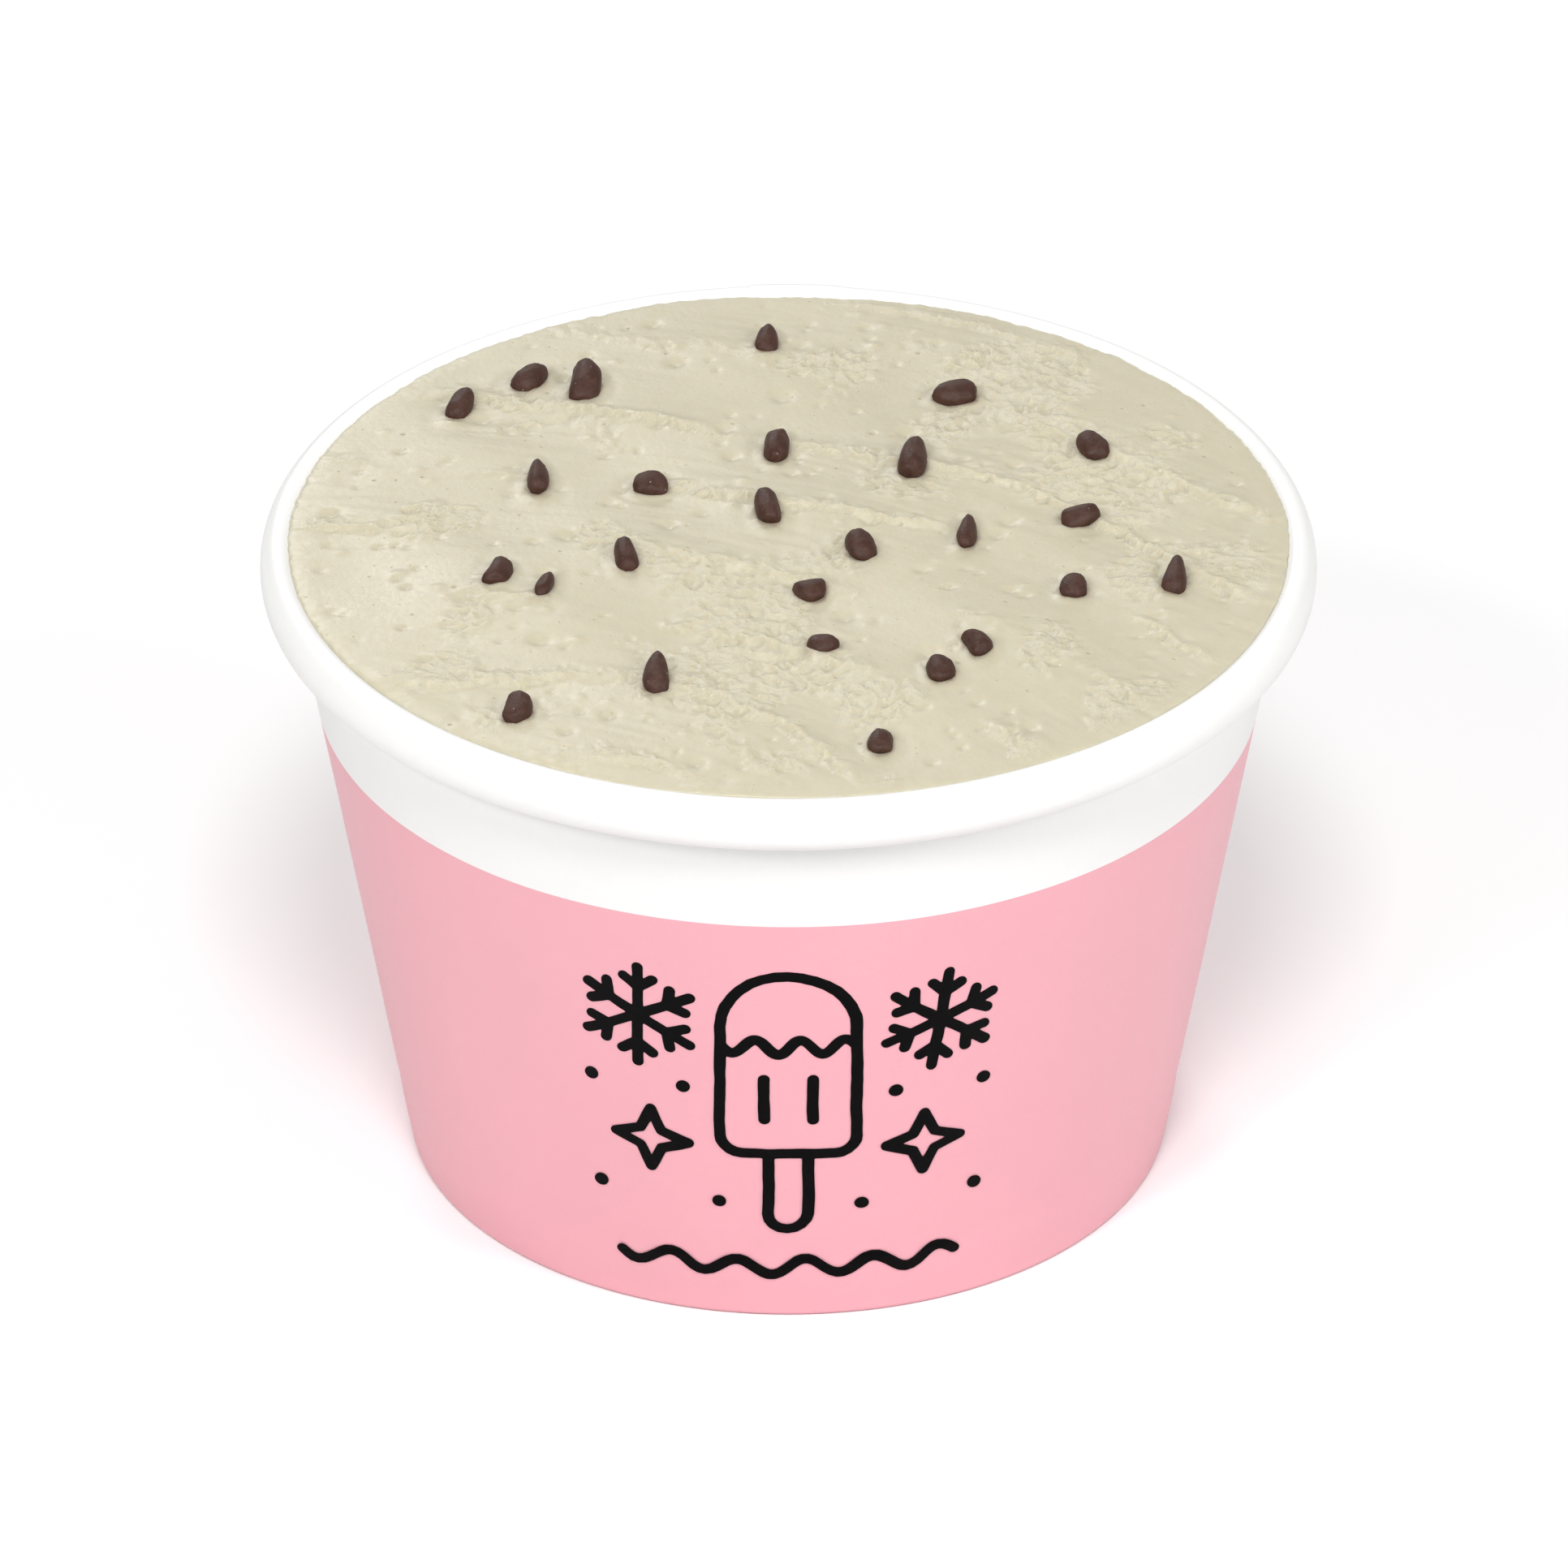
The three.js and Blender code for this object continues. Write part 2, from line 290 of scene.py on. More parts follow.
def tone_and_grain_group():
    """Slow changes of tone and gloss, and a fine grain as a height."""
    inputs = {
        "Color": (0.8, 0.8, 0.8, 1.0),
        "Tone Size": 8.0,
        "Tone Depth": 0.05,
        "Grain Size": 0.5,
        "Roughness": 0.5,
        "Roughness Spread": 0.1,
    }
    outputs = {
        "Color": "NodeSocketColor",
        "Roughness": "NodeSocketFloat",
        "Height": "NodeSocketFloat",
    }
    group, given, result = new_group("tone_and_grain", inputs, outputs)
    tone = noise_texture(group, given["Tone Size"], Detail=4.0, Roughness=0.6)
    grain = noise_texture(group, given["Grain Size"], Detail=3.0, Roughness=0.55)
    swing = maths(group, "MULTIPLY", maths(group, "SUBTRACT", tone, 0.5), 2.0)
    value = maths(group, "MULTIPLY_ADD", swing, given["Tone Depth"])
    value.node.inputs[2].default_value = 1.0
    tinted = put(group, "ShaderNodeHueSaturation", {"Color": given["Color"], "Value": value})
    fine = maths(group, "SUBTRACT", grain, 0.5)
    blended = maths(group, "ADD", maths(group, "MULTIPLY", swing, 0.6), fine)
    gloss = maths(group, "MULTIPLY", blended, given["Roughness Spread"])
    group.links.new(tinted.outputs[0], result["Color"])
    group.links.new(maths(group, "ADD", gloss, given["Roughness"], clamp=True), result["Roughness"])
    group.links.new(grain, result["Height"])
    return group


def fine_specks_group():
    """Small round specks, each with a chance to be there."""
    inputs = {
        "Color": (0.8, 0.8, 0.8, 1.0),
        "Speck Color": (0.1, 0.1, 0.1, 1.0),
        "Spacing": 1.0,
        "Speck Share": 0.3,
        "Chance": 0.2,
        "Strength": 1.0,
    }
    outputs = {"Color": "NodeSocketColor", "Mask": "NodeSocketFloat"}
    group, given, result = new_group("fine_specks", inputs, outputs)
    place = put(group, "ShaderNodeTexCoord").outputs["Object"]
    scale = maths(group, "DIVIDE", 1 / MM, given["Spacing"])
    cells = put(group, "ShaderNodeTexVoronoi", {"Vector": place, "Scale": scale})
    draw = put(group, "ShaderNodeSeparateColor", {"Color": cells.outputs["Color"]}).outputs
    there = maths(group, "LESS_THAN", draw["Red"], given["Chance"])
    reach = maths(group, "MULTIPLY", given["Speck Share"], maths(group, "ADD", draw["Green"], 0.4))
    inside = maths(group, "SUBTRACT", 1.0, ramp(group, cells.outputs["Distance"], 0.0, reach))
    mask = maths(group, "MULTIPLY", maths(group, "MULTIPLY", inside, there), given["Strength"])
    group.links.new(mixed(group, mask, given["Color"], given["Speck Color"]), result["Color"])
    group.links.new(mask, result["Mask"])
    return group


def frost_group():
    """A thin, patchy bloom of frost that lightens a colour and dulls its gloss."""
    inputs = {
        "Color": (0.8, 0.8, 0.8, 1.0),
        "Frost Color": (0.9, 0.9, 0.92, 1.0),
        "Amount": 0.3,
        "Patch Size": 2.0,
        "Roughness": 0.4,
    }
    outputs = {
        "Color": "NodeSocketColor",
        "Roughness": "NodeSocketFloat",
        "Mask": "NodeSocketFloat",
    }
    group, given, result = new_group("frost", inputs, outputs)
    cloud = noise_texture(group, given["Patch Size"], Detail=5.0, Roughness=0.7)
    mask = maths(group, "MULTIPLY", ramp(group, cloud, 0.4, 0.75), given["Amount"])
    dulled = maths(group, "MULTIPLY_ADD", mask, 0.5)
    group.links.new(given["Roughness"], dulled.node.inputs[2])
    group.links.new(mixed(group, mask, given["Color"], given["Frost Color"]), result["Color"])
    group.links.new(dulled, result["Roughness"])
    group.links.new(mask, result["Mask"])
    return group


TONE_AND_GRAIN = tone_and_grain_group()
FINE_SPECKS = fine_specks_group()
FROST = frost_group()


def place_group(tree, group, inputs):
    """A group in a material, with its own values."""
    return put(tree, "ShaderNodeGroup", inputs, node_tree=group).outputs


def new_material(name):
    """An empty material with a Principled BSDF."""
    material = bpy.data.materials.new(name)
    material.use_nodes = True
    tree = material.node_tree
    tree.nodes.clear()
    shader = put(tree, "ShaderNodeBsdfPrincipled")
    output = put(tree, "ShaderNodeOutputMaterial", {"Surface": shader.outputs[0]})
    output.is_active_output = True
    return material, tree, shader


def finish(tree, shader, color, roughness, height, depth, **numbers):
    """Joins colour, gloss and a bump of a depth in millimetres to a shader."""
    bump = put(tree, "ShaderNodeBump", {"Height": height, "Distance": depth * MM, "Strength": 1.0})
    tree.links.new(color, shader.inputs["Base Color"])
    tree.links.new(roughness, shader.inputs["Roughness"])
    tree.links.new(bump.outputs[0], shader.inputs["Normal"])
    for label, value in numbers.items():
        shader.inputs[label.replace("_", " ")].default_value = value


# ---------------------------------------------------------------- materials

PINK = (0.845, 0.4, 0.457, 1.0)
WHITE = (0.88, 0.875, 0.862, 1.0)
RAW_BOARD = (0.78, 0.75, 0.7, 1.0)
RAW_FIBRE = (0.5, 0.44, 0.36, 1.0)
INK = (0.001, 0.001, 0.0012, 1.0)
CREAM = (0.568, 0.521, 0.383, 1.0)
# painted shade: the darker cream put into the bubbles and pores, where shade falls in their hollows
CREAM_PIT_SHADE = (0.5, 0.437, 0.292, 1.0)
CREAM_PALE = (0.64, 0.6, 0.478, 1.0)
COCOA = (0.2, 0.12, 0.08, 1.0)
CHOCOLATE = (0.052, 0.02, 0.0125, 1.0)
CHOCOLATE_BLOOM = (0.13, 0.075, 0.057, 1.0)
FROST_WHITE = (0.9, 0.9, 0.9, 1.0)
FLOOR = (0.99, 0.99, 0.99, 1.0)
FLOOR_BOUNCE = (0.81, 0.81, 0.81, 1.0)


def coated_paper(name, color, tone_depth, roughness):
    """Smooth printed board under a thin clear coat: a little mottle, fibres and a soft sheen."""
    material, tree, shader = new_material(name)
    inputs = {
        "Color": color,
        "Tone Size": 14.0,
        "Tone Depth": tone_depth,
        "Grain Size": 0.55,
        "Roughness": roughness,
        "Roughness Spread": 0.12,
    }
    base = place_group(tree, TONE_AND_GRAIN, inputs)
    finish(
        tree, shader, base["Color"], base["Roughness"], base["Height"], 0.03,
        Coat_Weight=0.12, Coat_Roughness=0.28,
    )
    return material


def raw_board():
    """The cut edge and the uncoated side of the board."""
    material, tree, shader = new_material("raw_board")
    inputs = {
        "Color": RAW_BOARD,
        "Tone Size": 3.0,
        "Tone Depth": 0.1,
        "Grain Size": 0.25,
        "Roughness": 0.85,
        "Roughness Spread": 0.1,
    }
    base = place_group(tree, TONE_AND_GRAIN, inputs)
    specks = place_group(tree, FINE_SPECKS, {
        "Color": base["Color"],
        "Speck Color": RAW_FIBRE,
        "Spacing": 1.4,
        "Chance": 0.25,
        "Strength": 0.6,
    })
    finish(tree, shader, specks["Color"], base["Roughness"], base["Height"], 0.03)
    return material


def print_ink():
    """Deep black ink with hardly any sheen."""
    material, tree, shader = new_material("print_ink")
    inputs = {
        "Color": INK,
        "Tone Size": 5.0,
        "Tone Depth": 0.25,
        "Grain Size": 0.5,
        "Roughness": 0.42,
        "Roughness Spread": 0.14,
    }
    base = place_group(tree, TONE_AND_GRAIN, inputs)
    finish(
        tree, shader, base["Color"], base["Roughness"], base["Height"], 0.008,
        Specular_IOR_Level=0.06,
    )
    return material


def ice_cream():
    """Pale churned cream: smooth and a little glossy where it was smeared, frosty where it tore."""
    material, tree, shader = new_material("ice_cream")
    cocoa = put(tree, "ShaderNodeAttribute", attribute_name="cocoa").outputs["Fac"]
    torn = put(tree, "ShaderNodeAttribute", attribute_name="torn").outputs["Fac"]
    inputs = {
        "Color": CREAM,
        "Tone Size": 11.0,
        "Tone Depth": 0.03,
        "Grain Size": 0.6,
        "Roughness": 0.36,
        "Roughness Spread": 0.16,
    }
    base = place_group(tree, TONE_AND_GRAIN, inputs)
    frosted = place_group(tree, FROST, {
        "Color": base["Color"],
        "Frost Color": CREAM_PALE,
        "Amount": maths(tree, "ADD", 0.2, maths(tree, "MULTIPLY", torn, 0.6)),
        "Patch Size": 2.4,
        "Roughness": base["Roughness"],
    })
    # The bubbles and pores sink as hollows in the height below; their darker cream colour is painted
    # shade in those hollows.
    bubbles = place_group(tree, FINE_SPECKS, {
        "Color": mixed(tree, cocoa, frosted["Color"], COCOA),
        "Speck Color": CREAM_PIT_SHADE,
        "Spacing": 1.9,
        "Speck Share": 0.13,
        "Chance": 0.4,
        "Strength": 0.75,
    })
    pores = place_group(tree, FINE_SPECKS, {
        "Color": bubbles["Color"],
        "Speck Color": CREAM_PIT_SHADE,
        "Spacing": 0.8,
        "Speck Share": 0.15,
        "Chance": 0.3,
        "Strength": 0.6,
    })
    grain = maths(tree, "MULTIPLY", base["Height"], maths(tree, "ADD", 0.25, torn))
    holes = maths(tree, "ADD", bubbles["Mask"], maths(tree, "MULTIPLY", pores["Mask"], 0.6))
    height = maths(tree, "SUBTRACT", grain, holes)
    finish(
        tree, shader, pores["Color"], frosted["Roughness"], height, 0.14,
        Subsurface_Weight=0.45, Subsurface_Scale=0.0016, Subsurface_Radius=(1.0, 0.78, 0.5),
    )
    return material


def chocolate():
    """Dark chocolate with a waxy sheen, pale bloom and a touch of frost."""
    material, tree, shader = new_material("chocolate")
    inputs = {
        "Color": CHOCOLATE,
        "Tone Size": 1.6,
        "Tone Depth": 0.3,
        "Grain Size": 0.2,
        "Roughness": 0.45,
        "Roughness Spread": 0.2,
    }
    base = place_group(tree, TONE_AND_GRAIN, inputs)
    bloomed = place_group(tree, FROST, {
        "Color": base["Color"],
        "Frost Color": CHOCOLATE_BLOOM,
        "Amount": 0.45,
        "Patch Size": 1.4,
        "Roughness": base["Roughness"],
    })
    crystals = place_group(tree, FINE_SPECKS, {
        "Color": bloomed["Color"],
        "Speck Color": FROST_WHITE,
        "Spacing": 0.35,
        "Speck Share": 0.25,
        "Chance": 0.04,
        "Strength": 0.4,
    })
    finish(
        tree, shader, crystals["Color"], bloomed["Roughness"], base["Height"], 0.05,
        Specular_IOR_Level=0.27,
    )
    return material


PRINTED_PAPER = coated_paper("printed_paper", PINK, 0.035, 0.42)
WHITE_PAPER = coated_paper("white_paper", WHITE, 0.02, 0.4)
RAW_EDGE = raw_board()
PRINT_INK = print_ink()
ICE_CREAM = ice_cream()
CHOCOLATE_BROWN = chocolate()

# ---------------------------------------------------------------- the wall, its curl and its fold

COLUMNS = 480
# Steps along each stretch of the sheet, from its folded-in edge to the end of the curl.
FOLD_STEPS = 6
FOLD_BEND_STEPS = 5
WALL_STEPS = 34
BAND_STEPS = 10
CURL_STEPS = 40
WALL_MEAN_RADIUS = 40
WALL_WAVE_SIZE = 22.0
WALL_WAVE_HEIGHT = 0.06
PRESSED_DEPTH = 0.09  # of the line pressed into the wall where the disc's bend lies behind it
PRESSED_TALL = 0.45
FOLD_SWELL = 0.06  # how far the wall stands out over the fold
FOLD_SWELL_Z = 4.0
FOLD_SWELL_TALL = 2.0
KNURL_RIBS = 80  # upright ribs, pressed into the inner side of the fold
KNURL_DEPTH = 0.09
KNURL_Z = 2.9
KNURL_TALL = 1.3
LAP_CURL_STEP = 0.14  # how far the doubled sheet stands out in the curl, and how far up
LAP_CURL_RISE = 0.1
RIM_WAVES = [(3, 0.8, 0.05), (7, 2.1, 0.03)]  # number round the rim, where they start, height
PRINTED, COATED, BARE = 0, 1, 2  # the wall's materials


def lap_share(angle):
    """1 where the sheet lies double at the back, 0 elsewhere."""
    rise = smoothstep(angle, LAP_EDGE, LAP_EDGE + LAP_EDGE_WIDTH)
    return rise * (1 - smoothstep(angle, LAP_FADE_START, LAP_FADE_END))


def wall_shift(angle, z):
    """How far the wall's faces lie out from a true cone: a pressed line, and slight waves."""
    turn = np.radians(angle)
    x, y = np.sin(turn) * WALL_MEAN_RADIUS, np.cos(turn) * WALL_MEAN_RADIUS
    places = np.stack([x, y, z], -1).reshape(-1, 3)
    waves = soft_noise(places, WALL_WAVE_SIZE, 2).reshape(np.shape(z)) * WALL_WAVE_HEIGHT
    swell = FOLD_SWELL * bell(z, FOLD_SWELL_Z, FOLD_SWELL_TALL)
    pressed = -PRESSED_DEPTH * bell(z, DISC_HEIGHT + 0.1, PRESSED_TALL) + swell
    return waves * smoothstep(z, 0.5, 9.0) + pressed


def sidewall_paper():
    """One sheet: folded in at the foot, up the wall, and curled outwards into the rim."""
    middle = wall_radius(0) - PAPER / 2
    outer_bend = (middle - FOLD_BEND, PAPER / 2 + FOLD_BEND)
    inner_bend = (middle - CHANNEL + FOLD_BEND, outer_bend[1])
    fold_top = (wall_radius(FOLD_HEIGHT) - PAPER / 2 - CHANNEL, FOLD_HEIGHT)
    inner_foot = arc(inner_bend, (FOLD_BEND, FOLD_BEND), -180, -90, FOLD_BEND_STEPS)
    outer_foot = arc(outer_bend, (FOLD_BEND, FOLD_BEND), -90, 0, FOLD_BEND_STEPS)
    print_end = (wall_radius(PINK_TOP) - PAPER / 2, PINK_TOP)
    curl_size = ((CURL_WIDTH - PAPER) / 2, (CURL_TALL - PAPER) / 2)
    curl = arc((CURL_RADIUS, CURL_Z), curl_size, 180, CURL_END, CURL_STEPS)
    middle_line = np.concatenate([
        [fold_top], line(fold_top, inner_foot[0], FOLD_STEPS), inner_foot,
        outer_foot, line(outer_foot[-1], print_end, WALL_STEPS),
        [print_end], line(print_end, curl[0], BAND_STEPS), curl,
    ])
    outline = sheet_outline(middle_line, PAPER)
    angles = ring_angles(COLUMNS)
    places = swept(outline, angles)
    side = len(middle_line)
    angle = np.broadcast_to(angles[:, None], places.shape[:2])
    z = places[..., 2]
    radius = np.linalg.norm(places[..., :2], axis=-1)

    wall = radius > wall_radius(z) - 2 * PAPER
    in_curl = smoothstep(z, LAP_TOP, LAP_TOP + 1.2)
    doubled = lap_share(angle)
    shift = np.where(wall, wall_shift(angle, z) * (1 - in_curl), 0)
    outer = np.zeros(z.shape)
    outer[:, :side] = 1
    between_ends = smoothstep(z, 0, LAP_FOOT) * (1 - smoothstep(z, LAP_TOP, LAP_TOP + 0.8))
    shift += LAP_STEP * doubled * outer * wall * between_ends
    shift += LAP_CURL_STEP * doubled * smoothstep(z, CURL_Z - 1.6, CURL_Z)
    turn = np.radians(angle)
    ribs = np.sin(turn * KNURL_RIBS) * bell(z, KNURL_Z, KNURL_TALL)
    shift += np.where(wall, 0, KNURL_DEPTH * ribs)
    places = pushed_out(places, shift)
    unevenness = sum(height * np.sin(count * turn + start) for count, start, height in RIM_WAVES)
    places[..., 2] += in_curl * (unevenness + LAP_CURL_RISE * doubled)

    faces = swept_faces(len(angles), len(outline), closed=True)
    printed = np.arange(len(outline)) < side - 1
    heights = (outline[:, 1] + np.roll(outline[:, 1], -1)) / 2
    on_wall = np.arange(len(outline)) >= FOLD_STEPS + len(inner_foot)
    pink = printed & (heights < np.where(on_wall, PINK_TOP, PINK_TUCK))
    cut = (np.arange(len(outline)) == side - 1) | (np.arange(len(outline)) == len(outline) - 1)
    by_point = np.where(cut, BARE, np.where(pink, PRINTED, COATED))
    face_material = np.broadcast_to(by_point, (len(angles), len(outline))).copy()
    step = np.isclose(angles, LAP_EDGE)
    lap_points = printed & on_wall & (heights > LAP_FOOT / 2) & (heights < LAP_TOP + 0.3)
    face_material[np.ix_(step, lap_points)] = BARE

    materials = [PRINTED_PAPER, WHITE_PAPER, RAW_EDGE]
    piece = add_piece("sidewall_paper", places, faces, materials, face_material, sharp=40)
    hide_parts("sidewall")
    return piece


DISC_COLUMNS = 240
DISC_STEPS = 60  # from its bend to its middle
DISC_BEND_STEPS = 8
RING_RADIUS = 28.0  # of the pressed ring
RING_DEPTH = 0.16
RING_WIDTH = 0.9


def flange_radius(z):
    """The middle of the disc's turned-down edge, half way between the two sides of the fold."""
    return wall_radius(z) - PAPER / 2 - CHANNEL / 2


def base_disc_paper():
    """A round of board with its edge turned down into the fold, and a pressed ring."""
    bend = (flange_radius(DISC_HEIGHT) - DISC_BEND, DISC_HEIGHT - DISC_BEND)
    foot = (flange_radius(DISC_FLANGE_FOOT), DISC_FLANGE_FOOT)
    rounded = arc(bend, (DISC_BEND, DISC_BEND), 0, 90, DISC_BEND_STEPS)
    hub = (0, DISC_HEIGHT)
    flat = line(rounded[-1], hub, DISC_STEPS)
    middle_line = np.concatenate([[foot], line(foot, rounded[0], FOLD_STEPS), rounded, flat, [hub]])
    middle_line[:, 1] -= RING_DEPTH * bell(middle_line[:, 0], RING_RADIUS, RING_WIDTH)
    outline = sheet_outline(middle_line, PAPER)
    outline = np.roll(outline, len(middle_line), axis=0)
    angles = ring_angles(DISC_COLUMNS)
    faces = swept_faces(len(angles), len(outline), closed=False)
    piece = add_piece("base_disc_paper", swept(outline, angles), faces, [WHITE_PAPER], merge=1e-3)
    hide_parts("bottom_disc")
    return piece


# ---------------------------------------------------------------- the ice cream

GRID = 284  # places along each side of the grid that the top is made on
GRID_RADIUS = 43.9
CONTACT_RADIUS = 45.45  # where it meets the curl
SWEEP_FROM = (-46.0, -98.0)  # the spatula swung round this point
SWEEP_RADIUS = 108.0
STROKE_PITCH = 12.5  # between the edges of the spatula's strokes
STROKE_STEP = 0.42  # height of those edges
STROKE_LIP = 0.3  # height of the ragged lip on each edge, as a share of the step
CRAG_HEIGHT = 0.34  # of the torn patches
CRAG_SIZE = 1.9
PITS = 260
PIT_SIZES = (0.32, 0.5)  # the smallest, and how much larger the largest is
PIT_DEPTH = 0.6  # as a share of its size
BEADS = 90
BEAD_SIZES = (0.35, 0.4)
BEAD_HEIGHT = 0.3
COLLAR_HEIGHT = 0.24  # of the cream pushed up round each chunk
COLLAR_WIDTH = 0.5
MOAT_DEPTH = 0.03  # of the faint dip outside that
MOAT_AWAY = 1.2
CALM_BAND = 2.5  # the relief dies down over this width inside the rim
CALM_SHARE = 0.25  # what is left of it there
CONTACT_WANDER = 0.12
CONTACT_SINK = 0.12  # how deep its edge sits in the curl
# Rings on its rounded edge, as shares of a quarter turn.
EDGE_QUARTERS = (0.2, 0.4, 0.56, 0.7, 0.8, 0.88, 0.95, 1.0)
SIDE_RINGS = (56.0, 32.0)  # heights of the rings down its side
FLOOR_RINGS = (22.0, 8.0)  # radii of the rings on its floor
COCOA_REACH = 0.22  # how far chocolate tints the cream round a chunk
COCOA_TINT = 0.85


def smooth_height(x, y):
    """The solid's own top: a low crown with slow waves, quiet near the rim."""
    share = np.minimum(np.hypot(x, y) / LIP_RADIUS, 1)
    waves = sum(height * np.sin(ahead * x + aside * y + start) for ahead, aside, start, height in WAVES)
    crown = CROWN * (1 - share**2) + waves * (1 - share**EDGE_CALM)
    return LIP_Z + LIP_THICKNESS + crown


def beyond_chunk(x, y, chunk):
    """Roughly how far a place lies outside a chunk's outline, in millimetres."""
    kind, middle_x, middle_y, length, width, turn = chunk
    form = CHUNK_KINDS[kind]
    cos, sin = math.cos(math.radians(turn)), math.sin(math.radians(turn))
    along = ((x - middle_x) * cos + (y - middle_y) * sin) / (length / 2)
    across = (-(x - middle_x) * sin + (y - middle_y) * cos) / (width / 2)
    across = (across - form["bend"] * (along**2 - BOW_LEVEL)) / np.clip(1 - form["taper"] * along, 0.3, 2)
    return (np.hypot(along, across) - 1) * width / 2


def nearest_chunk(x, y):
    return np.min([beyond_chunk(x, y, chunk) for chunk in CHUNKS], axis=0)


def spatula_strokes(x, y):
    """Smears of the spatula: each rises slowly, ends in a ragged lip and drops to the next.

    Gives their height, and how torn the cream is near the lips.
    """
    flat = np.stack([x, y, 0 * x], 1)
    reach = np.hypot(x - SWEEP_FROM[0], y - SWEEP_FROM[1])
    swing = np.arctan2(y - SWEEP_FROM[1], x - SWEEP_FROM[0]) * SWEEP_RADIUS
    ragged = 0.7 * soft_noise(flat + 17, 4.0, 2) + 0.3 * soft_noise(flat, 1.3, 2)
    share = 1 - (reach + 5.0 * soft_noise(flat + 11, 24.0) + ragged) / STROKE_PITCH % 1
    fade = smoothstep(soft_noise(flat + 23, 19.0, 2), -0.3, 0.2)
    step = share**1.5 * (1 - smoothstep(share, 0.93, 1.0))
    lip = STROKE_LIP * bell(share, 0.9, 0.045)
    torn = fade * bell(share, 0.93, 0.09)
    drag = np.stack([reach, swing / 9, 0 * x], 1)
    lines = 0.05 * soft_noise(drag, 1.5, 2) * (0.4 + fade) + 0.12 * soft_noise(drag + 5, 7.0)
    return STROKE_STEP * (step + lip - 0.4) * fade + lines, torn


def scattered(x, y, draw, count, smallest, spread):
    """Round bumps of random places and sizes, each as tall as its own size."""
    heights = np.zeros(len(x))
    for _ in range(count):
        distance, turn = LIP_RADIUS * math.sqrt(draw.random()), draw.random() * math.tau
        size = smallest + spread * draw.random() ** 3
        away = np.hypot(x - distance * math.cos(turn), y - distance * math.sin(turn))
        near = away < 3 * size
        heights[near] = np.maximum(heights[near], size * bell(away[near], 0, size))
    return heights


def cream_relief(x, y):
    """What churning, freezing and a spatula leave on the top: its height, and how torn it is."""
    flat = np.stack([x, y, 0 * x], 1)
    draw = np.random.default_rng(RANDOM_SEED)
    strokes, edges = spatula_strokes(x, y)
    torn = np.maximum(edges, smoothstep(soft_noise(flat + 31, 12.0, 2), 0.2, 0.45))
    crags = CRAG_HEIGHT * (1 - 2 * np.abs(soft_noise(flat, CRAG_SIZE, 3))) - 0.2
    pits = scattered(x, y, draw, PITS, *PIT_SIZES)
    beads = scattered(x, y, draw, BEADS, *BEAD_SIZES)
    away = nearest_chunk(x, y)
    open_cream = smoothstep(away, 0.1, 0.6)
    pushed_up = np.clip(0.5 + 0.9 * soft_noise(flat + 43, 1.7, 2), 0, 1.2)
    collar = COLLAR_HEIGHT * pushed_up * bell(away, 0.0, COLLAR_WIDTH)
    collar -= MOAT_DEPTH * bell(away, MOAT_AWAY, COLLAR_WIDTH)
    bumps = torn * crags + BEAD_HEIGHT * beads - PIT_DEPTH * pits
    return strokes + open_cream * bumps + collar, torn


def curl_top(radius):
    """Height of the rim's curl at a radius."""
    across = np.clip((radius - CURL_RADIUS) / (CURL_WIDTH / 2), -1, 1)
    return CURL_Z + CURL_TALL / 2 * np.sqrt(1 - across**2)


def disc_grid(count):
    """A square grid squeezed into a circle of radius 1, its quads, and its border in order."""
    u, v = np.meshgrid(np.linspace(-1, 1, count), np.linspace(-1, 1, count), indexing="ij")
    wide = np.abs(u) >= np.abs(v)
    reach = np.where(wide, u, v)
    safe = np.where(reach == 0, 1, reach)
    turn = np.where(wide, math.pi / 4 * v / safe, math.pi / 2 - math.pi / 4 * u / safe)
    places = np.stack([reach * np.cos(turn), reach * np.sin(turn)], 2).reshape(-1, 2)
    index = np.arange(count * count).reshape(count, count)
    faces = np.stack([index[:-1, :-1], index[1:, :-1], index[1:, 1:], index[:-1, 1:]], 2).reshape(-1, 4)
    border = np.concatenate([index[:-1, 0], index[-1, :-1], index[:0:-1, -1], index[0, :0:-1]])
    return places, faces, border


